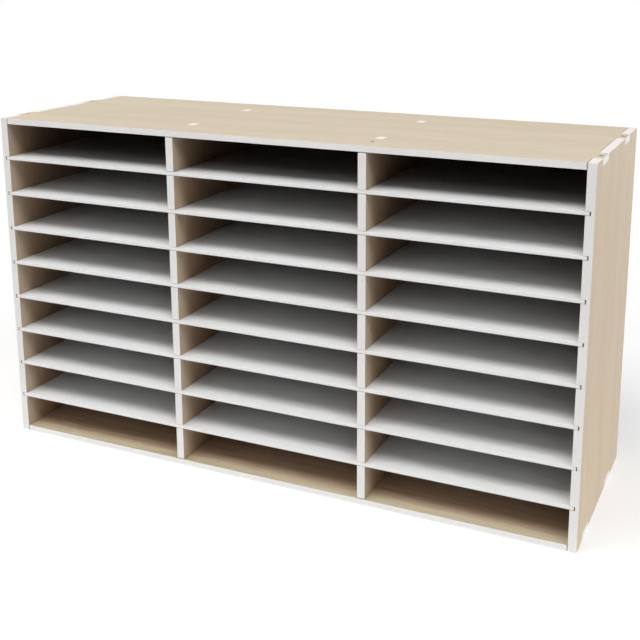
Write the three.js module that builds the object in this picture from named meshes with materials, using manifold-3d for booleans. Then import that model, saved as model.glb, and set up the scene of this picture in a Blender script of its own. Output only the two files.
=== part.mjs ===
// Pigeonhole mail sorter: a knock-down case of slotted boards that holds loose shelves.
// Millimetres, +Z up, front towards -Y, origin under the middle of the underside.
// Every board is an outline cut from sheet, with its tabs, tenons, notches and slots in the outline.
// Mortises, grooves and screw holes are cut into the boards afterwards.

import * as THREE from "three";
import { mergeVertices } from "three/addons/utils/BufferGeometryUtils.js";
import Module from "manifold-3d";

// Overall size
const OVERALL_WIDTH = 920;
const OVERALL_DEPTH = 300;
const OVERALL_HEIGHT = 522;

// Board thicknesses
const SIDE_THICKNESS = 12;
const DIVIDER_THICKNESS = 12;
const TOP_THICKNESS = 9;
const BOTTOM_THICKNESS = 9;
const SHELF_THICKNESS = 5;
const BACK_THICKNESS = 3;

// Paper slots across and up
const COLUMN_COUNT = 3;
const ROW_COUNT = 9;

// Tabs on the ends of the top and bottom, one near the front and one near the rear
const TAB_LENGTH = 38;
const TAB_FRONT_INSET = 55;
const TAB_REAR_INSET = 82;

// Tenons on the dividers, one near the front and one near the rear
const TENON_LENGTH = 20;
const TENON_FRONT_INSET = 67;
const TENON_REAR_INSET = 70;

// Shelf joints: grooves in the sides, halved crossings with the dividers
const GROOVE_DEPTH = 7;
const SHELF_END_GAP = 1.6;
const CROSSING_FROM_FRONT = 144;

// Back panel, held in a groove all round
const BACK_INSET = 8;
const BACK_GROOVE_DEPTH = 4.5;
const BACK_END_GAP = 0.5;

// Countersunk screws with a cross recess
const SCREW_LENGTH = 30;
const SCREW_SHANK_DIAMETER = 3.5;
const SCREW_HEAD_DIAMETER = 7.4;
const SCREW_POINT_LENGTH = 4;
const SCREW_SINK = 0.3;
const RECESS_SPAN = 4.2;
const RECESS_WIDTH = 1;
const RECESS_DEPTH = 1.2;
const SCREW_SEGMENTS = 16;

// The one screw from the top into a divider, ahead of its front tenon
const SCREWED_DIVIDER = 2;
const SCREW_FROM_TENON = 21;

// Clearances
const FIT_GAP = 0.3;
const CROSSING_GAP = 0.5;
const SHOULDER_GAP = 1.1;
const HOLE_END_GAP = 1;
const OVERCUT = 1;

// Finishes: satin wood print and white foil, pressed fibre, and dark bronze plate
const WOOD = { color: 0xd7c9b2, roughness: 0.58, metalness: 0 };
const WHITE = { color: 0xe6e5e2, roughness: 0.57, metalness: 0 };
const HARDBOARD = { color: 0x4d3e31, roughness: 0.65, metalness: 0 };
const BRONZE = { color: 0x52483b, roughness: 0.42, metalness: 0.9 };

// Faces that the boards share
const FRONT = -OVERALL_DEPTH / 2;
const REAR = OVERALL_DEPTH / 2;
const OUTER = OVERALL_WIDTH / 2;
const INNER = OUTER - SIDE_THICKNESS;
const FLOOR = BOTTOM_THICKNESS;
const CEILING = OVERALL_HEIGHT - TOP_THICKNESS;
const BACK_REAR = REAR - BACK_INSET;
const BACK_FRONT = BACK_REAR - BACK_THICKNESS;
const BOARD_END = BACK_FRONT - FIT_GAP;
const CROSSING = FRONT + CROSSING_FROM_FRONT;
const SHELF_REACH = INNER + GROOVE_DEPTH - SHELF_END_GAP;
const BACK_OVERLAP = BACK_GROOVE_DEPTH - BACK_END_GAP;

// Pattern of columns and rows
const DIVIDER_COUNT = COLUMN_COUNT - 1;
const SHELF_COUNT = ROW_COUNT - 1;
const COLUMN_CLEAR = (2 * INNER - DIVIDER_COUNT * DIVIDER_THICKNESS) / COLUMN_COUNT;
const ROW_CLEAR = (CEILING - FLOOR - SHELF_COUNT * SHELF_THICKNESS) / ROW_COUNT;
const DIVIDER_NUMBERS = Array.from({ length: DIVIDER_COUNT }, (_, i) => i + 1);
const SHELF_NUMBERS = Array.from({ length: SHELF_COUNT }, (_, i) => i + 1);

// Where the tabs and tenons lie from front to rear
const TAB_CENTRES = { front: FRONT + TAB_FRONT_INSET, rear: REAR - TAB_REAR_INSET };
const TENON_CENTRES = { front: FRONT + TENON_FRONT_INSET, rear: REAR - TENON_REAR_INSET };
const SIDE_SIGNS = { left: -1, right: 1 };

// Planes for board outlines: flat outlines are X by Y, upright ones Y by Z
const FLAT = new THREE.Matrix4();
const UPRIGHT = new THREE.Matrix4().makeBasis(
  new THREE.Vector3(0, 1, 0),
  new THREE.Vector3(0, 0, 1),
  new THREE.Vector3(1, 0, 0),
);

const PLAIN_EDGE = { marks: [], step: 0 };

const wasm = await Module();
wasm.setup();

/** Makes a solid for cutting from a closed three.js geometry. */
function solidFrom(geometry) {
  geometry.deleteAttribute("normal");
  geometry.deleteAttribute("uv");
  const merged = mergeVertices(geometry, 1e-4);
  const index = merged.index.array;
  const triangles = [];
  for (let i = 0; i < index.length; i += 3) {
    const [a, b, c] = [index[i], index[i + 1], index[i + 2]];
    if (a !== b && b !== c && c !== a) {
      triangles.push(a, b, c);
    }
  }
  const mesh = new wasm.Mesh({
    numProp: 3,
    vertProperties: new Float32Array(merged.attributes.position.array),
    triVerts: new Uint32Array(triangles),
  });
  return new wasm.Manifold(mesh);
}

/** A block between two corners. */
function block([x0, x1], [y0, y1], [z0, z1]) {
  const geometry = new THREE.BoxGeometry(x1 - x0, y1 - y0, z1 - z0);
  geometry.translate((x0 + x1) / 2, (y0 + y1) / 2, (z0 + z1) / 2);
  return solidFrom(geometry);
}

/** A board cut from sheet: an outline, given its thickness from a starting height. */
function board(outline, plane, start, thickness) {
  const shape = new THREE.Shape(outline.map(([a, b]) => new THREE.Vector2(a, b)));
  const geometry = new THREE.ExtrudeGeometry(shape, { depth: thickness, bevelEnabled: false });
  geometry.translate(0, 0, start);
  geometry.applyMatrix4(plane);
  return solidFrom(geometry);
}

/** Takes a list of cutters away from a solid. */
function cutAll(solid, cutters) {
  return cutters.reduce((left, cutter) => left.subtract(cutter), solid);
}

/** Points along one edge, which steps across by a distance at each mark; the far corner is left out. */
function steppedEdge(from, to, level, { marks, step }, outward) {
  const way = Math.sign(to - from);
  const ordered = [...marks].sort((a, b) => way * (a.centre - b.centre));
  const shifted = level + outward * step;
  const steps = ordered.flatMap(({ centre, half }) => [
    [centre - way * half, level],
    [centre - way * half, shifted],
    [centre + way * half, shifted],
    [centre + way * half, level],
  ]);
  return [[from, level], ...steps];
}

/** Outline of a rectangle whose edges step out, or in where the step is negative, at their marks. */
function steppedRectangle([left, right], [bottom, top], edges) {
  const swap = ([a, b]) => [b, a];
  const edge = (name) => edges[name] ?? PLAIN_EDGE;
  return [
    ...steppedEdge(left, right, bottom, edge("bottom"), -1),
    ...steppedEdge(bottom, top, right, edge("right"), 1).map(swap),
    ...steppedEdge(right, left, top, edge("top"), 1),
    ...steppedEdge(top, bottom, left, edge("left"), -1).map(swap),
  ];
}

/** Marks for the front and rear joints, of a length with a gap at both ends. */
function jointMarks(centres, length, gap) {
  return Object.values(centres).map((centre) => ({ centre, half: length / 2 + gap }));
}

/** Middle of a divider across the width, counted from the left. */
function dividerCentre(number) {
  return -INNER + number * (COLUMN_CLEAR + DIVIDER_THICKNESS) - DIVIDER_THICKNESS / 2;
}

/** Underside of a shelf, counted from the lowest. */
function shelfUnderside(number) {
  return FLOOR + number * ROW_CLEAR + (number - 1) * SHELF_THICKNESS;
}

/** All screws: one through every tab into the side, and one through the top into a divider. */
function screwPlaces() {
  const places = [];
  for (const level of ["top", "bottom"]) {
    for (const end of ["front", "rear"]) {
      for (const side of ["left", "right"]) {
        const x = SIDE_SIGNS[side] * (OUTER - SIDE_THICKNESS / 2);
        places.push({ name: `side_screw_${level}_${side}_${end}`, level, x, y: TAB_CENTRES[end] });
      }
    }
  }
  const dividerScrewY = TENON_CENTRES.front - TENON_LENGTH / 2 - SCREW_FROM_TENON;
  places.push({ name: "divider_screw", level: "top", x: dividerCentre(SCREWED_DIVIDER), y: dividerScrewY });
  return places;
}

const SCREWS = screwPlaces();

/** Height of a point at some depth below the face that a screw is driven from. */
function heightAt(level, depth) {
  return level === "top" ? OVERALL_HEIGHT - depth : depth;
}

/** A solid turned about a screw's axis; the outline lists radius and depth pairs from the face inwards. */
function turned(outline, screw) {
  const profile = outline.map(([radius, depth]) => new THREE.Vector2(radius, heightAt(screw.level, depth)));
  if (screw.level === "top") {
    profile.reverse();
  }
  const geometry = new THREE.LatheGeometry(profile, SCREW_SEGMENTS);
  geometry.rotateX(Math.PI / 2);
  geometry.translate(screw.x, screw.y, 0);
  return solidFrom(geometry);
}

/** One countersunk screw. */
function screwSolid(screw) {
  const headRadius = SCREW_HEAD_DIAMETER / 2;
  const shankRadius = SCREW_SHANK_DIAMETER / 2;
  const neck = SCREW_SINK + headRadius - shankRadius;
  const tip = SCREW_SINK + SCREW_LENGTH;
  const body = turned([
    [0, SCREW_SINK],
    [headRadius, SCREW_SINK],
    [shankRadius, neck],
    [shankRadius, tip - SCREW_POINT_LENGTH],
    [0, tip],
  ], screw);
  const recessDepth = [SCREW_SINK - OVERCUT, SCREW_SINK + RECESS_DEPTH];
  const heights = recessDepth.map((depth) => heightAt(screw.level, depth)).sort((a, b) => a - b);
  const span = (centre, width) => [centre - width / 2, centre + width / 2];
  return cutAll(body, [
    block(span(screw.x, RECESS_SPAN), span(screw.y, RECESS_WIDTH), heights),
    block(span(screw.x, RECESS_WIDTH), span(screw.y, RECESS_SPAN), heights),
  ]);
}

/** The countersunk hole that one screw needs in the boards it goes through. */
function screwHole(screw) {
  const headRadius = SCREW_HEAD_DIAMETER / 2 + FIT_GAP;
  const shankRadius = SCREW_SHANK_DIAMETER / 2 + FIT_GAP;
  const neck = SCREW_SINK + headRadius - shankRadius;
  const tip = SCREW_SINK + SCREW_LENGTH + HOLE_END_GAP;
  return turned([
    [0, -OVERCUT],
    [headRadius, -OVERCUT],
    [headRadius, SCREW_SINK],
    [shankRadius, neck],
    [shankRadius, tip - SCREW_POINT_LENGTH],
    [0, tip],
  ], screw);
}

/** Holes for the screws that pass a test. */
function screwHoles(test) {
  return SCREWS.filter(test).map(screwHole);
}

/** Groove for the back panel, over a stretch across the width and up. */
function backGroove(across, up) {
  return block(across, [BACK_FRONT - FIT_GAP, BACK_REAR + FIT_GAP], up);
}

/** One side: notched for the tabs, grooved for the shelves and the back. */
function sideSolid(side) {
  const sign = SIDE_SIGNS[side];
  const across = (near, far) => [sign * near, sign * far].sort((a, b) => a - b);
  const marks = jointMarks(TAB_CENTRES, TAB_LENGTH, FIT_GAP);
  const outline = steppedRectangle([FRONT, REAR], [0, OVERALL_HEIGHT], {
    bottom: { marks, step: -BOTTOM_THICKNESS - FIT_GAP },
    top: { marks, step: -TOP_THICKNESS - FIT_GAP },
  });
  const blank = board(outline, UPRIGHT, across(INNER, OUTER)[0], SIDE_THICKNESS);
  const shelfGrooves = SHELF_NUMBERS.map((number) => {
    const underside = shelfUnderside(number);
    const up = [underside - FIT_GAP, underside + SHELF_THICKNESS + FIT_GAP];
    return block(across(INNER - OVERCUT, INNER + GROOVE_DEPTH), [FRONT - OVERCUT, BACK_FRONT], up);
  });
  const backUp = [FLOOR - BACK_GROOVE_DEPTH, CEILING + BACK_GROOVE_DEPTH];
  const backSlot = backGroove(across(INNER - OVERCUT, INNER + BACK_GROOVE_DEPTH), backUp);
  const holes = screwHoles((screw) => sign * screw.x > INNER);
  return cutAll(blank, [...shelfGrooves, backSlot, ...holes]);
}

/** Top or bottom: tabs through the sides, mortises for the dividers, a groove for the back. */
function endBoardSolid(level) {
  const isTop = level === "top";
  const thickness = isTop ? TOP_THICKNESS : BOTTOM_THICKNESS;
  const low = isTop ? CEILING : 0;
  const shoulder = INNER - SHOULDER_GAP;
  const tabs = { marks: jointMarks(TAB_CENTRES, TAB_LENGTH, 0), step: OUTER - shoulder };
  const outline = steppedRectangle([-shoulder, shoulder], [FRONT, REAR], { left: tabs, right: tabs });
  const halfWidth = DIVIDER_THICKNESS / 2 + FIT_GAP;
  const through = [low - OVERCUT, low + thickness + OVERCUT];
  const mortises = DIVIDER_NUMBERS.flatMap((number) => {
    const across = [dividerCentre(number) - halfWidth, dividerCentre(number) + halfWidth];
    return jointMarks(TENON_CENTRES, TENON_LENGTH, FIT_GAP).map(({ centre, half }) =>
      block(across, [centre - half, centre + half], through));
  });
  const blank = board(outline, FLAT, low, thickness);
  const grooveUp = isTop
    ? [CEILING - OVERCUT, CEILING + BACK_GROOVE_DEPTH]
    : [FLOOR - BACK_GROOVE_DEPTH, FLOOR + OVERCUT];
  const holes = screwHoles((screw) => screw.level === level);
  return cutAll(blank, [...mortises, backGroove([-INNER, INNER], grooveUp), ...holes]);
}

/** One divider: tenons through the top and bottom, and a front slot for each shelf. */
function dividerSolid(number) {
  const x = dividerCentre(number);
  const [low, high] = [FLOOR + SHOULDER_GAP, CEILING - SHOULDER_GAP];
  const tenons = jointMarks(TENON_CENTRES, TENON_LENGTH, 0);
  const shelfMarks = SHELF_NUMBERS.map((shelf) => ({
    centre: shelfUnderside(shelf) + SHELF_THICKNESS / 2,
    half: SHELF_THICKNESS / 2 + CROSSING_GAP,
  }));
  const outline = steppedRectangle([FRONT, BOARD_END], [low, high], {
    bottom: { marks: tenons, step: low },
    top: { marks: tenons, step: OVERALL_HEIGHT - high },
    left: { marks: shelfMarks, step: -CROSSING_FROM_FRONT - CROSSING_GAP },
  });
  const blank = board(outline, UPRIGHT, x - DIVIDER_THICKNESS / 2, DIVIDER_THICKNESS);
  return cutAll(blank, screwHoles((screw) => Math.abs(screw.x - x) < DIVIDER_THICKNESS / 2));
}

/** One shelf: reaches into the side grooves, with a rear slot over each divider. */
function shelfSolid(number) {
  const marks = DIVIDER_NUMBERS.map((divider) => ({
    centre: dividerCentre(divider),
    half: DIVIDER_THICKNESS / 2 + CROSSING_GAP,
  }));
  const outline = steppedRectangle([-SHELF_REACH, SHELF_REACH], [FRONT, BOARD_END], {
    top: { marks, step: CROSSING - BOARD_END },
  });
  return board(outline, FLAT, shelfUnderside(number), SHELF_THICKNESS);
}

/** The thin back, let into the grooves of the sides, top and bottom. */
function backSolid() {
  const reach = INNER + BACK_OVERLAP;
  return block([-reach, reach], [BACK_FRONT, BACK_REAR], [FLOOR - BACK_OVERLAP, CEILING + BACK_OVERLAP]);
}

/** A named mesh with its own material, shaded flat because every face is flat. */
function meshFrom(name, solid, finish) {
  const data = solid.getMesh();
  const geometry = new THREE.BufferGeometry();
  geometry.setAttribute("position", new THREE.BufferAttribute(new Float32Array(data.vertProperties), 3));
  geometry.setIndex(new THREE.BufferAttribute(new Uint32Array(data.triVerts), 1));
  const material = new THREE.MeshStandardMaterial({ ...finish, flatShading: true });
  const mesh = new THREE.Mesh(geometry, material);
  mesh.name = name;
  return mesh;
}

const sorter = new THREE.Group();
sorter.name = "mail_sorter";
for (const side of ["left", "right"]) {
  sorter.add(meshFrom(`side_${side}`, sideSolid(side), WOOD));
}
sorter.add(meshFrom("top_panel", endBoardSolid("top"), WOOD));
sorter.add(meshFrom("bottom_panel", endBoardSolid("bottom"), WOOD));
for (const number of DIVIDER_NUMBERS) {
  sorter.add(meshFrom(`divider_${number}`, dividerSolid(number), WOOD));
}
sorter.add(meshFrom("back_panel", backSolid(), HARDBOARD));
for (const number of SHELF_NUMBERS) {
  sorter.add(meshFrom(`shelf_${number}`, shelfSolid(number), WHITE));
}
for (const screw of SCREWS) {
  sorter.add(meshFrom(screw.name, screwSolid(screw), BRONZE));
}

export default sorter;
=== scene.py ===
import bpy
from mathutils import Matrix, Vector


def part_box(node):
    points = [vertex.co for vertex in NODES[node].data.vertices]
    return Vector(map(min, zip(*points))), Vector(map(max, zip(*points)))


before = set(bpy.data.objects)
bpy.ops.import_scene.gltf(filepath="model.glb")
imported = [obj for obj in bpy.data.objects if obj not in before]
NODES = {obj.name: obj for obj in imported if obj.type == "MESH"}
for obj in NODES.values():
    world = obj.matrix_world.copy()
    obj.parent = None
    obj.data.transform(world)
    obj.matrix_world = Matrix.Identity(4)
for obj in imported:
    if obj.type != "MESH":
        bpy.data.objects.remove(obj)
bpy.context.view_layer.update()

SHELVES = [n for n in NODES if n.startswith("shelf_")]
SIDES = ["side_left", "side_right"]
DIVIDERS = ["divider_1", "divider_2"]
ENDS = ["top_panel", "bottom_panel"]
SCREWS = [n for n in NODES if "screw" in n]

# Planes of the boards, read from the model
WIDTH_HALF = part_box("side_right")[1].x
SIDE_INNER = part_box("side_right")[0].x
CASE_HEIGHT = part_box("side_right")[1].z
PLANE_EASE = 0.0008

# Tabs and tenons lie within this height of the case's top and bottom
JOINT_HEIGHT = 0.02

# The shelves' crossings with the dividers lie within this distance of the middle
CROSSING_REACH = 0.3

# How squarely a surface faces an axis where a mask starts, and where it is full
SQUARE_LIMITS = (0.9, 0.95)
FACE_LIMITS = (0.78, 0.92)
SHELF_EDGE_LIMITS = (0.5, 0.9)

# Painted shade: inside the case the wood turns from its inner tint to the darker, redder deep tint
# between these two places behind the open front
BACK_SHADE_START = -0.148
BACK_SHADE_END = -0.108

# Softened edges
BOARD_BEVEL = 0.0004
SHELF_BEVEL = 0.0005
BEVEL_SEGMENTS = 2
BEVEL_ANGLE = 0.7
WELD_DISTANCE = 0.00001

# Colours, linear
FINE_GRAIN = {
    "pale": (0.545, 0.469, 0.363, 1),
    "deep": (0.503, 0.424, 0.318, 1),
    "fleck": (0.590, 0.523, 0.420, 1),
}
TOP_GRAIN = {
    "pale": (0.619, 0.533, 0.412, 1),
    "deep": (0.571, 0.482, 0.361, 1),
    "fleck": (0.670, 0.594, 0.477, 1),
}
BOLD_GRAIN = {
    "pale": (0.572, 0.497, 0.388, 1),
    "deep": (0.440, 0.362, 0.262, 1),
    "fleck": (0.630, 0.560, 0.450, 1),
}
# Painted shade: the inner tint darkens and reddens wood faces inside the case, and the deep tint
# darkens them further towards the back
WALL_SHADE_TINTS = {"inner": (0.87, 0.81, 0.78, 1), "deep": (0.70, 0.545, 0.45, 1)}
SIDE_SHADE_TINTS = {"outer": (1.04, 0.995, 0.965, 1), **WALL_SHADE_TINTS}
DIVIDER_SHADE_TINTS = {"outer": WALL_SHADE_TINTS["inner"], **WALL_SHADE_TINTS}
END_SHADE_TINTS = {
    "outer": (1.0, 1.0, 1.0, 1),
    "inner": (0.88, 0.88, 0.79, 1),
    "deep": (0.90, 0.73, 0.65, 1),
}
WHITE_EDGE = (0.795, 0.780, 0.764, 1)
WHITE_EDGE_DULL = (0.766, 0.750, 0.734, 1)
# Painted light: the white edge's upward faces get their own tone to offset the stronger light from
# above
UPWARD_EDGE_PAINTED_LIGHT = (0.835, 0.783, 0.746, 1)
UPWARD_EDGE_PAINTED_LIGHT_DULL = (0.806, 0.752, 0.714, 1)
WHITE_SHELF = (0.704, 0.704, 0.702, 1)
WHITE_SHELF_DULL = (0.686, 0.686, 0.683, 1)
# Painted light: the shelves' edge bands are paler than their faces to make up for the weaker light on
# them
SHELF_EDGE_PAINTED_LIGHT = (0.792, 0.790, 0.784, 1)
SHELF_EDGE_PAINTED_LIGHT_DULL = (0.771, 0.769, 0.763, 1)
# Painted shade: dark brown for the undersides, standing in for the shade in the top row
UNDERSIDE_SHADE_PALE = (0.135, 0.115, 0.098, 1)
UNDERSIDE_SHADE_DEEP = (0.095, 0.080, 0.068, 1)
CORE_PALE = (0.460, 0.350, 0.235, 1)
CORE_DEEP = (0.330, 0.240, 0.150, 1)
HARDBOARD_PALE = (0.088, 0.058, 0.038, 1)
HARDBOARD_DEEP = (0.047, 0.031, 0.020, 1)
BRONZE_PALE = (0.125, 0.098, 0.066, 1)
BRONZE_DEEP = (0.048, 0.037, 0.025, 1)
PAPER_WHITE = (1, 1, 1, 1)

# Wood grain: noise in cycles per metre along and across the grain, all of it bent a little
GRAIN_LAYERS = {
    "bands": {"along": 1.6, "across": 22.0, "detail": 3.0, "roughness": 0.5},
    "streaks": {"along": 7.0, "across": 190.0, "detail": 4.0, "roughness": 0.6},
    "flecks": {"along": 38.0, "across": 330.0, "detail": 2.0, "roughness": 0.5},
    "pores": {"along": 90.0, "across": 1500.0, "detail": 2.0, "roughness": 0.6},
}
GRAIN_BEND = {"Scale": 3.0, "Detail": 2.0}
GRAIN_BEND_REACH = 0.03
BANDS_SHARE = 0.5
FLECK_LIMITS = (0.58, 0.70)
FLECK_SHARE = 0.6
PORE_LIMITS = (0.62, 0.74)
PORE_SHARE = 0.35

# Even noise on the other surfaces, in cycles per metre
FOIL_PATCHES = {"scale": 14.0, "detail": 4.0}
EDGE_WEAR = {"scale": 400.0, "detail": 2.0}
CORE_FIBRES = {"scale": 900.0, "roughness": 0.7}
UNDERSIDE_SHADE_CLOUDS = {"scale": 25.0, "detail": 5.0, "roughness": 0.65}
BOARD_SHEEN = {"scale": 60.0}
SHELF_SHEEN = {"scale": 45.0}
SHELF_PEEL = {"scale": 700.0, "detail": 2.0}
HARDBOARD_FIBRES = {"scale": 500.0, "detail": 5.0, "roughness": 0.7}
HARDBOARD_CLOUDS = {"scale": 18.0}
BRONZE_MOTTLE = {"scale": 1800.0}
FLOOR_CLOUDS = {"scale": 30.0, "detail": 2.0}
EDGE_WEAR_SHARE = 0.25
FIBRES_SHARE = 0.6

# Noise levels between which one colour gives way to another
FOIL_LIMITS = (0.35, 0.75)
CLOUD_LIMITS = (0.35, 0.65)
TONE_LIMITS = (0.36, 0.64)

# Roughness of each surface, least and most, and the height of its bumps
BOARD_ROUGHNESS = (0.50, 0.66)
SHELF_ROUGHNESS = (0.48, 0.66)
HARDBOARD_ROUGHNESS = (0.55, 0.75)
BRONZE_ROUGHNESS = (0.30, 0.55)
BOARD_RELIEF = 0.00012
SHELF_RELIEF = 0.00006
HARDBOARD_RELIEF = 0.0002
BRONZE_RELIEF = 0.00005
BUMP_STRENGTH = 0.6
FOIL_SPECULAR = 0.12
PLAIN_SPECULAR = 0.4
BRONZE_METALLIC = 0.9

# Camera
SENSOR_WIDTH = 36.0
LENS = 58.37
LENS_SHIFT = (-0.04, -0.19)
CAMERA_PLACE = Vector((0.6827, -1.3936, 0.7585))
CAMERA_AIM = Vector((0.0867, -0.0581, 0.4251))

# Light
WORLD_STRENGTH = 0.045
SEEN_STRENGTH = 1.0
LIGHTS = {
    "key": {"place": (1.1, -2.45, 4.7), "aim": (1.1, 0, 0.25), "size": (14.0, 2.2), "watts": 480},
    "front": {"place": (0.8, -3.5, 2.9), "aim": (0.8, 0, 0.3), "size": (10.0, 1.4), "watts": 28},
    "right": {"place": (5.0, -0.15, 0.3), "aim": (0, 0, 0.25), "size": (2.6, 0.5), "watts": 42},
    "left": {"place": (-4.5, 0.1, 0.9), "aim": (0, 0, 0.25), "size": (2.4, 1.6), "watts": 128},
    "rear": {"place": (2.8, 3.5, 1.0), "aim": (0, 0, 0.25), "size": (2.2, 1.6), "watts": 83},
}

# Floor: what the camera sees of it, and what it gives back as light, by distance from the middle
FLOOR_HALF = 30
FLOOR_SEEN = (0.97, 0.97, 0.968, 1)
FLOOR_SEEN_DULL = (0.95, 0.95, 0.947, 1)
FLOOR_FADE_START = 0.55
FLOOR_FADE_END = 1.1
FLOOR_WHITE_LEAST = 0.4
BOUNCE_NEAR = (0.86, 0.86, 0.855, 1)
BOUNCE_FAR = (0.35, 0.35, 0.345, 1)
BOUNCE_FADE_START = 0.6
BOUNCE_FADE_END = 1.3


class Shader:
    """Adds and links the nodes of one material or of the world."""

    def __init__(self, owner):
        self.owner = owner
        self.owner.use_nodes = True
        self.tree = self.owner.node_tree
        self.tree.nodes.clear()

    def fill(self, socket, value):
        """Links a socket to an output, or gives it a plain value."""
        if isinstance(value, bpy.types.NodeSocket):
            self.tree.links.new(value, socket)
        else:
            socket.default_value = value

    def add(self, kind, settings=None, inputs=None):
        node = self.tree.nodes.new(kind)
        for name, value in (settings or {}).items():
            setattr(node, name, value)
        for name, value in (inputs or {}).items():
            self.fill(node.inputs[name], value)
        return node

    def math(self, operation, first, second=0.0):
        return self.add("ShaderNodeMath", {"operation": operation}, {0: first, 1: second}).outputs[0]

    def vector(self, operation, first, second):
        inputs = {0: first, 1: second}
        return self.add("ShaderNodeVectorMath", {"operation": operation}, inputs).outputs[0]

    def ramp(self, value, low, high):
        """0 below low, 1 above high, smooth between."""
        inputs = {"Value": value, "From Min": low, "From Max": high}
        node = self.add("ShaderNodeMapRange", {"interpolation_type": "SMOOTHSTEP"}, inputs)
        return node.outputs["Result"]

    def spread(self, share, low, high):
        """From low to high in a straight line as the share goes from 0 to 1."""
        return self.math("ADD", self.math("MULTIPLY", share, high - low), low)

    def balance(self, first, second, share):
        """A share of the first value and the rest of the second."""
        rest = self.math("MULTIPLY", second, 1 - share)
        return self.math("ADD", self.math("MULTIPLY", first, share), rest)

    def mix(self, share, first, second):
        """Mixes two colours. The node's colour sockets are told apart by number alone."""
        node = self.add("ShaderNodeMix", {"data_type": "RGBA"}, {0: share, 6: first, 7: second})
        return node.outputs[2]

    def blend(self, share, first, second):
        """Mixes two whole shaders."""
        inputs = {0: share, 1: first.outputs[0], 2: second.outputs[0]}
        return self.add("ShaderNodeMixShader", None, inputs).outputs[0]

    def shown(self):
        """1 for rays that the camera sends, straight, off a gloss or through glass."""
        path = self.add("ShaderNodeLightPath").outputs
        bent = self.math("MAXIMUM", path["Is Glossy Ray"], path["Is Transmission Ray"])
        return self.math("MAXIMUM", path["Is Camera Ray"], bent)


class Surface(Shader):
    """A material's nodes, with places and directions in the object's own frame."""

    def __init__(self, name):
        super().__init__(bpy.data.materials.new(name))
        coordinates = self.add("ShaderNodeTexCoord").outputs
        self.place = coordinates["Object"]
        self.normal = coordinates["Normal"]

    def axis(self, vector, name):
        return self.add("ShaderNodeSeparateXYZ", None, {0: vector}).outputs[name]

    def facing(self, name):
        """How squarely the surface faces along one axis, 0 to 1."""
        return self.math("ABSOLUTE", self.axis(self.normal, name))

    def square_to(self, name):
        """1 on faces square to one axis."""
        return self.ramp(self.facing(name), *SQUARE_LIMITS)

    def reach(self):
        """Distance from the middle of the width."""
        return self.math("ABSOLUTE", self.axis(self.place, "X"))

    def stretched_noise(self, place, scales, detail, roughness):
        """Noise with its own scale along each axis, in cycles per metre."""
        stretched = self.vector("MULTIPLY", place, scales)
        inputs = {"Vector": stretched, "Scale": 1.0, "Detail": detail, "Roughness": roughness}
        return self.add("ShaderNodeTexNoise", None, inputs).outputs["Fac"]

    def noise(self, scale, detail=3.0, roughness=0.55):
        """Noise that is alike along every axis."""
        return self.stretched_noise(self.place, (scale, scale, scale), detail, roughness)

    def finish(self, colour, roughness, height, relief, specular=PLAIN_SPECULAR, metallic=0.0):
        bump_inputs = {"Strength": BUMP_STRENGTH, "Distance": relief, "Height": height}
        bump = self.add("ShaderNodeBump", None, bump_inputs)
        inputs = {
            "Base Color": colour,
            "Roughness": roughness,
            "Metallic": metallic,
            "Specular IOR Level": specular,
            "Normal": bump.outputs["Normal"],
        }
        surface = self.add("ShaderNodeBsdfPrincipled", None, inputs)
        self.add("ShaderNodeOutputMaterial", None, {"Surface": surface.outputs[0]})
        return self.owner


def bent_place(shader):
    """The place on the object, pushed about a little so that the grain isn't straight."""
    inputs = {"Vector": shader.place, **GRAIN_BEND}
    bend = shader.add("ShaderNodeTexNoise", None, inputs).outputs["Color"]
    scaled = {0: bend, "Scale": GRAIN_BEND_REACH}
    offset = shader.add("ShaderNodeVectorMath", {"operation": "SCALE"}, scaled).outputs[0]
    return shader.vector("ADD", shader.place, offset)


def grain_layer(shader, place, grain, layer):
    """One layer of noise, drawn out along the grain's axis."""
    scales = tuple(layer["along"] if name == grain else layer["across"] for name in "XYZ")
    return shader.stretched_noise(place, scales, layer["detail"], layer["roughness"])


def wood(shader, grain, colours):
    """Pale close-grained veneer print: broad bands, streaks, short flecks and fine pores."""
    place = bent_place(shader)
    layers = {name: grain_layer(shader, place, grain, GRAIN_LAYERS[name]) for name in GRAIN_LAYERS}
    tone = shader.balance(layers["bands"], layers["streaks"], BANDS_SHARE)
    colour = shader.mix(shader.ramp(tone, *TONE_LIMITS), colours["deep"], colours["pale"])
    flecked = shader.math("MULTIPLY", shader.ramp(layers["flecks"], *FLECK_LIMITS), FLECK_SHARE)
    colour = shader.mix(flecked, colour, colours["fleck"])
    pored = shader.math("MULTIPLY", shader.ramp(layers["pores"], *PORE_LIMITS), PORE_SHARE)
    colour = shader.mix(pored, colour, colours["deep"])
    return colour, shader.math("SUBTRACT", layers["streaks"], layers["pores"])


def white(shader, clean, dull):
    """White foil with a faint uneven tone."""
    patches = shader.noise(**FOIL_PATCHES)
    return shader.mix(shader.ramp(patches, *FOIL_LIMITS), clean, dull)


def white_edge(shader):
    """White edge band, painted a warmer tone where it looks up, to offset the stronger light from
    above.
    """
    up = shader.ramp(shader.axis(shader.normal, "Z"), *SQUARE_LIMITS)
    clean = shader.mix(up, WHITE_EDGE, UPWARD_EDGE_PAINTED_LIGHT)
    dull = shader.mix(up, WHITE_EDGE_DULL, UPWARD_EDGE_PAINTED_LIGHT_DULL)
    return white(shader, clean, dull)


def core(shader):
    """Raw fibre board that shows where a groove or slot is cut."""
    fibres = shader.noise(**CORE_FIBRES)
    return shader.mix(shader.ramp(fibres, *CLOUD_LIMITS), CORE_DEEP, CORE_PALE)


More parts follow.
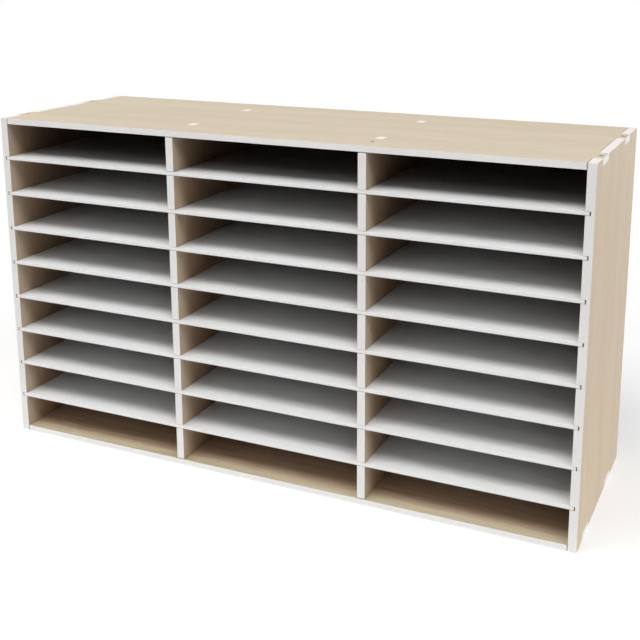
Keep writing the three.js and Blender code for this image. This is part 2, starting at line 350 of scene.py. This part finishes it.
def underside_shade(shader):
    """Dark brown sheet on the undersides, painted as shade for the top row's ceiling, with faint
    clouds.
    """
    clouds = shader.noise(**UNDERSIDE_SHADE_CLOUDS)
    return shader.mix(shader.ramp(clouds, *CLOUD_LIMITS), UNDERSIDE_SHADE_DEEP, UNDERSIDE_SHADE_PALE)


def inner_face(shader):
    """1 on what lies between the two sides, up to their inner faces, and below the top."""
    within = shader.math("LESS_THAN", shader.reach(), SIDE_INNER + PLANE_EASE)
    low = shader.math("LESS_THAN", shader.axis(shader.place, "Z"), CASE_HEIGHT - PLANE_EASE)
    return shader.math("MULTIPLY", within, low)


def underneath(shader):
    """1 on faces that look straight down."""
    down = shader.math("MULTIPLY", shader.axis(shader.normal, "Z"), -1.0)
    return shader.ramp(down, *SQUARE_LIMITS)


def inside_height(shader):
    """1 on level cut faces between the floor and the ceiling of the case, 0 at the tabs and tenons."""
    height = shader.axis(shader.place, "Z")
    above = shader.math("GREATER_THAN", height, JOINT_HEIGHT)
    below = shader.math("LESS_THAN", height, CASE_HEIGHT - JOINT_HEIGHT)
    return shader.math("MULTIPLY", shader.math("MULTIPLY", above, below), shader.square_to("Z"))


def groove_floor(shader):
    """1 on the floors of the grooves in a side, which lie between its two faces."""
    deeper = shader.math("GREATER_THAN", shader.reach(), SIDE_INNER + PLANE_EASE)
    nearer = shader.math("LESS_THAN", shader.reach(), WIDTH_HALF - PLANE_EASE)
    return shader.math("MULTIPLY", shader.math("MULTIPLY", deeper, nearer), shader.square_to("X"))


def crossing_wall(shader):
    """1 on the walls of the slots that cross the dividers, 0 at a shelf's own ends."""
    near_middle = shader.math("LESS_THAN", shader.reach(), CROSSING_REACH)
    return shader.math("MULTIPLY", shader.square_to("X"), near_middle)


def laminate(name, face, grain, colours, shade_tints, covers):
    """Board with tinted wood faces along one axis and white edges; inside the case the tint is painted
    shade.

    Each cover is a mask and the colour that it lays on top.
    """
    shader = Surface(name)
    wood_colour, grain_height = wood(shader, grain, colours)
    # Painted shade: faces inside the case take the darker inner tint, fading to the deep tint towards
    # the back
    back_shade = shader.ramp(shader.axis(shader.place, "Y"), BACK_SHADE_START, BACK_SHADE_END)
    inside_shade_tint = shader.mix(back_shade, shade_tints["inner"], shade_tints["deep"])
    tint = shader.mix(inner_face(shader), shade_tints["outer"], inside_shade_tint)
    tinted = shader.vector("MULTIPLY", wood_colour, tint)
    worn = shader.math("MULTIPLY", shader.noise(**EDGE_WEAR), EDGE_WEAR_SHARE)
    on_face = shader.ramp(shader.math("ADD", shader.facing(face), worn), *FACE_LIMITS)
    colour = shader.mix(on_face, white_edge(shader), tinted)
    for mask, cover in covers:
        colour = shader.mix(mask(shader), colour, cover(shader))
    roughness = shader.spread(shader.noise(**BOARD_SHEEN), *BOARD_ROUGHNESS)
    return shader.finish(colour, roughness, grain_height, BOARD_RELIEF, specular=FOIL_SPECULAR)


def shelf_board():
    """White melamine with a fine orange-peel surface, edge bands painted paler to make up for the
    weaker light on them, and raw core in the slots.
    """
    shader = Surface("white_board")
    # Painted light: faces square to the depth take the paler edge colour
    edge_painted_light = shader.ramp(shader.facing("Y"), *SHELF_EDGE_LIMITS)
    clean = shader.mix(edge_painted_light, WHITE_SHELF, SHELF_EDGE_PAINTED_LIGHT)
    dull = shader.mix(edge_painted_light, WHITE_SHELF_DULL, SHELF_EDGE_PAINTED_LIGHT_DULL)
    colour = shader.mix(crossing_wall(shader), white(shader, clean, dull), core(shader))
    peel = shader.noise(**SHELF_PEEL)
    roughness = shader.spread(shader.noise(**SHELF_SHEEN), *SHELF_ROUGHNESS)
    return shader.finish(colour, roughness, peel, SHELF_RELIEF, specular=FOIL_SPECULAR)


def hardboard():
    """Dark brown pressed fibre."""
    shader = Surface("hardboard")
    fibres = shader.noise(**HARDBOARD_FIBRES)
    clouds = shader.noise(**HARDBOARD_CLOUDS)
    tone = shader.balance(fibres, clouds, FIBRES_SHARE)
    colour = shader.mix(shader.ramp(tone, *TONE_LIMITS), HARDBOARD_DEEP, HARDBOARD_PALE)
    roughness = shader.spread(clouds, *HARDBOARD_ROUGHNESS)
    return shader.finish(colour, roughness, fibres, HARDBOARD_RELIEF)


def bronze():
    """Dark bronze plate with dirt in the low places."""
    shader = Surface("screw_bronze")
    mottle = shader.noise(**BRONZE_MOTTLE)
    colour = shader.mix(shader.ramp(mottle, *CLOUD_LIMITS), BRONZE_DEEP, BRONZE_PALE)
    roughness = shader.spread(mottle, *BRONZE_ROUGHNESS)
    return shader.finish(colour, roughness, mottle, BRONZE_RELIEF, metallic=BRONZE_METALLIC)


def dress(names, material):
    for name in names:
        slots = NODES[name].data.materials
        slots.clear()
        slots.append(material)


def soften(names, width):
    """Joins the split corners of the imported solid and rounds its edges a little."""
    for name in names:
        weld = NODES[name].modifiers.new("weld", "WELD")
        weld.merge_threshold = WELD_DISTANCE
        bevel = NODES[name].modifiers.new("soft_edges", "BEVEL")
        bevel.width = width
        bevel.segments = BEVEL_SEGMENTS
        bevel.limit_method = "ANGLE"
        bevel.angle_limit = BEVEL_ANGLE


def floor_material():
    """Pale floor that keeps a soft shadow near the sorter and runs out to white for the camera."""
    shader = Surface("floor")
    length = shader.add("ShaderNodeVectorMath", {"operation": "LENGTH"}, {0: shader.place})
    distance = length.outputs["Value"]
    far = shader.ramp(distance, FLOOR_FADE_START, FLOOR_FADE_END)
    bare = shader.math("MAXIMUM", far, FLOOR_WHITE_LEAST)
    shown = shader.shown()
    seen = shader.mix(shader.noise(**FLOOR_CLOUDS), FLOOR_SEEN, FLOOR_SEEN_DULL)
    fade = shader.ramp(distance, BOUNCE_FADE_START, BOUNCE_FADE_END)
    bounce = shader.mix(fade, BOUNCE_NEAR, BOUNCE_FAR)
    matte = shader.add("ShaderNodeBsdfDiffuse", None, {"Color": shader.mix(shown, bounce, seen)})
    paper_inputs = {"Color": PAPER_WHITE, "Strength": SEEN_STRENGTH}
    paper = shader.add("ShaderNodeEmission", None, paper_inputs)
    surface = shader.blend(shader.math("MULTIPLY", bare, shown), matte, paper)
    shader.add("ShaderNodeOutputMaterial", None, {"Surface": surface})
    return shader.owner


def make_floor():
    signs = ((-1, -1), (1, -1), (1, 1), (-1, 1))
    corners = [(x * FLOOR_HALF, y * FLOOR_HALF, 0) for x, y in signs]
    mesh = bpy.data.meshes.new("floor")
    mesh.from_pydata(corners, [], [(0, 1, 2, 3)])
    mesh.materials.append(floor_material())
    floor = bpy.data.objects.new("floor", mesh)
    bpy.context.scene.collection.objects.link(floor)


def make_world():
    """Even white surroundings: full white where they show, dimmer as light."""
    shader = Shader(bpy.data.worlds.new("studio"))
    strengths = (WORLD_STRENGTH, SEEN_STRENGTH)
    glow, paper = [
        shader.add("ShaderNodeBackground", None, {"Color": PAPER_WHITE, "Strength": strength})
        for strength in strengths
    ]
    surface = shader.blend(shader.shown(), glow, paper)
    shader.add("ShaderNodeOutputWorld", None, {"Surface": surface})
    bpy.context.scene.world = shader.owner


def turn_towards(item, place, aim):
    """Puts a lamp or camera in its place and points it at its aim."""
    item.location = place
    item.rotation_euler = (Vector(aim) - Vector(place)).to_track_quat("-Z", "Y").to_euler()
    bpy.context.scene.collection.objects.link(item)


def make_lights():
    for name, light in LIGHTS.items():
        data = bpy.data.lights.new(name, "AREA")
        data.shape = "RECTANGLE"
        data.size, data.size_y = light["size"]
        data.energy = light["watts"]
        turn_towards(bpy.data.objects.new(name, data), light["place"], light["aim"])


def make_camera():
    data = bpy.data.cameras.new("camera")
    data.sensor_fit = "HORIZONTAL"
    data.sensor_width = SENSOR_WIDTH
    data.lens = LENS
    data.shift_x, data.shift_y = LENS_SHIFT
    camera = bpy.data.objects.new("camera", data)
    turn_towards(camera, CAMERA_PLACE, CAMERA_AIM)
    bpy.context.scene.camera = camera


def dress_all():
    side_covers = [(groove_floor, core), (inside_height, core)]
    divider_covers = [(inside_height, core)]
    # Painted shade: the undersides of the top and bottom take the dark sheet colour
    end_covers = [(underneath, underside_shade)]
    dress(SIDES, laminate("laminate_side", "X", "Z", FINE_GRAIN, SIDE_SHADE_TINTS, side_covers))
    dress(DIVIDERS, laminate("laminate_divider", "X", "Z", FINE_GRAIN, DIVIDER_SHADE_TINTS, divider_covers))
    dress(["top_panel"], laminate("laminate_top", "Z", "X", TOP_GRAIN, END_SHADE_TINTS, end_covers))
    dress(["bottom_panel"], laminate("laminate_bottom", "Z", "X", BOLD_GRAIN, END_SHADE_TINTS, end_covers))
    dress(SHELVES, shelf_board())
    dress(["back_panel"], hardboard())
    dress(SCREWS, bronze())


make_camera()
make_world()
make_lights()
make_floor()
dress_all()
soften(SIDES + DIVIDERS + ENDS, BOARD_BEVEL)
soften(SHELVES, SHELF_BEVEL)

bpy.context.scene.view_settings.view_transform = "Standard"
